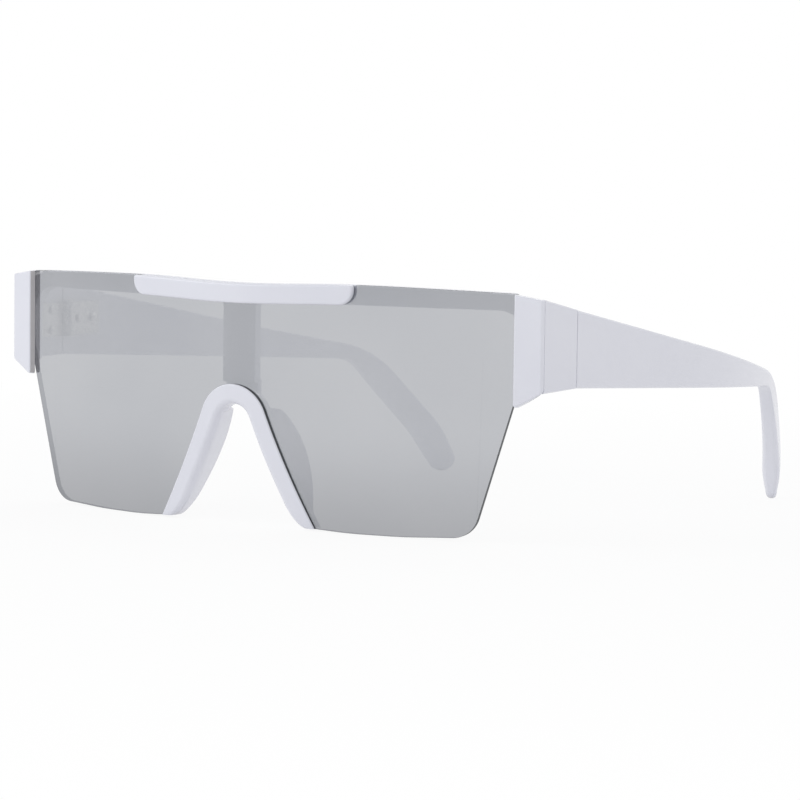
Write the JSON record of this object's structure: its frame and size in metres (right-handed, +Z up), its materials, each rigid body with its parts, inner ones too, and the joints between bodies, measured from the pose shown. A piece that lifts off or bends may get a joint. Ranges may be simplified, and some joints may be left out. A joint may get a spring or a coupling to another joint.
{
  "type": "sports sunglasses",
  "caption": "Shield sunglasses with a mirrored lens, nose piece with pads, screwed brow bar and end caps, rear frame and flat temples that fold on riveted hinges.",
  "frame": {"origin": "Middle of the bounding box in X and Y, on the surface that the glasses stand on with the temples open.", "axes": "+X to the wearer's left, +Y to the back towards the ear tips, +Z up. The glasses stand on the lens's lower edge and the two ear tips, so their own top edge is tipped 1.67 degrees forward of level."},
  "size_m": [0.144, 0.1642, 0.0536],
  "materials": {
    "white_moulding": "polished white injection moulding",
    "mirror_lens": "silver mirror coating on a grey, partly see-through sheet lens",
    "plated_steel": "nickel plated"
  },
  "bodies": {
    "front": {"shield_lens": "mirror_lens", "rear_frame": "white_moulding", "brow_bar": "white_moulding", "nose_piece": "white_moulding", "end_cap_left": "white_moulding", "end_cap_right": "white_moulding", "brow_screw_left": "plated_steel", "brow_screw_right": "plated_steel", "end_cap_screw_left": "plated_steel", "end_cap_screw_right": "plated_steel", "nose_screw": "plated_steel", "hinge_front_leaf_left": "plated_steel", "hinge_front_leaf_right": "plated_steel", "hinge_front_rivet_left_upper": "plated_steel", "hinge_front_rivet_left_lower": "plated_steel", "hinge_front_rivet_right_upper": "plated_steel", "hinge_front_rivet_right_lower": "plated_steel", "hinge_screw_left": "plated_steel", "hinge_screw_right": "plated_steel"},
    "left_temple": {"temple_left": "white_moulding", "hinge_temple_leaf_left": "plated_steel", "hinge_temple_rivet_left_front": "plated_steel", "hinge_temple_rivet_left_rear": "plated_steel"},
    "right_temple": {"temple_right": "white_moulding", "hinge_temple_leaf_right": "plated_steel", "hinge_temple_rivet_right_front": "plated_steel", "hinge_temple_rivet_right_rear": "plated_steel"}
  },
  "joints": [
    {"name": "left_temple_fold", "type": "hinge", "parent": "front", "child": "left_temple", "pos_m": [0.0671, -0.05497, 0.04146], "axis": [0, -0.0291, 0.9996], "range_deg": [0, 86]},
    {"name": "right_temple_fold", "type": "hinge", "parent": "front", "child": "right_temple", "pos_m": [-0.0671, -0.05497, 0.04146], "axis": [0, 0.0291, -0.9996], "range_deg": [0, 77]}
  ]
}
